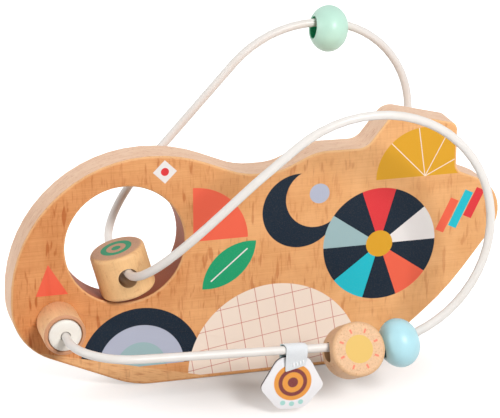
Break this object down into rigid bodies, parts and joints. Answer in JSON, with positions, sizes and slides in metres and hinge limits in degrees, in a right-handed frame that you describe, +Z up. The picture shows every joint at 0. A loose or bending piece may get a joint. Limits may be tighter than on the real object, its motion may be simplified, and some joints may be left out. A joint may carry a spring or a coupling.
{
  "type": "abacus rattle",
  "caption": "Flat beech board with a hand hole and one looped wire through it, carrying sliding wooden beads and a fabric tag; a baby rattle that stands on its bottom edge.",
  "frame": {"origin": "middle of the flat bottom edge that the board stands on, at mid-thickness", "axes": "+X along the board towards its tab end, -Y out of the printed front face, +Z up"},
  "size_m": [0.2348, 0.1391, 0.1587],
  "materials": {
    "beech": "oiled, satin",
    "post_wood": "oiled, satin",
    "bead_wood": "clear lacquer, satin",
    "drum_wood": "clear lacquer, satin",
    "blue_paint": "painted, satin",
    "mint_paint": "painted, satin",
    "white_cap": "moulded, satin",
    "wire": "white coating, satin",
    "ribbon": "woven ribbon",
    "tag_front": "printed cotton",
    "tag_fill": "thin wadding",
    "tag_back": "dark cotton"
  },
  "bodies": {
    "frame": {"board": "beech", "post_front": "post_wood", "post_rear": "post_wood", "cap_front": "white_cap", "cap_rear": "white_cap", "wire": "wire"},
    "disc": {"disc_bead": "bead_wood"},
    "tag": {"tag_strap": "ribbon", "tag_front": "tag_front", "tag_filling": "tag_fill", "tag_back": "tag_back"},
    "blue": {"blue_bead": "blue_paint"},
    "mint": {"mint_bead": "mint_paint"},
    "drum": {"drum_bead": "drum_wood"}
  },
  "joints": [
    {"name": "disc_slide", "type": "slide", "parent": "frame", "child": "disc", "axis": [0.999, 0, -0.0454], "range_m": [-0.055, 0]},
    {"name": "tag_swing", "type": "hinge", "parent": "disc", "child": "tag", "pos_m": [0.0062, -0.06, 0.03177], "axis": [0.999, 0, -0.0454], "continuous": true},
    {"name": "blue_travel", "type": "hinge", "parent": "frame", "child": "blue", "pos_m": [0.04445, -0.06, 0.08409], "axis": [0, -1, 0], "range_deg": [0, 130]},
    {"name": "mint_travel", "type": "hinge", "parent": "frame", "child": "mint", "pos_m": [0.04973, 0.0546, 0.09555], "axis": [0, -1, 0], "range_deg": [-6, 46]},
    {"name": "drum_slide", "type": "slide", "parent": "frame", "child": "drum", "axis": [0, 1, 0], "range_m": [-0.002, 0.014]}
  ]
}
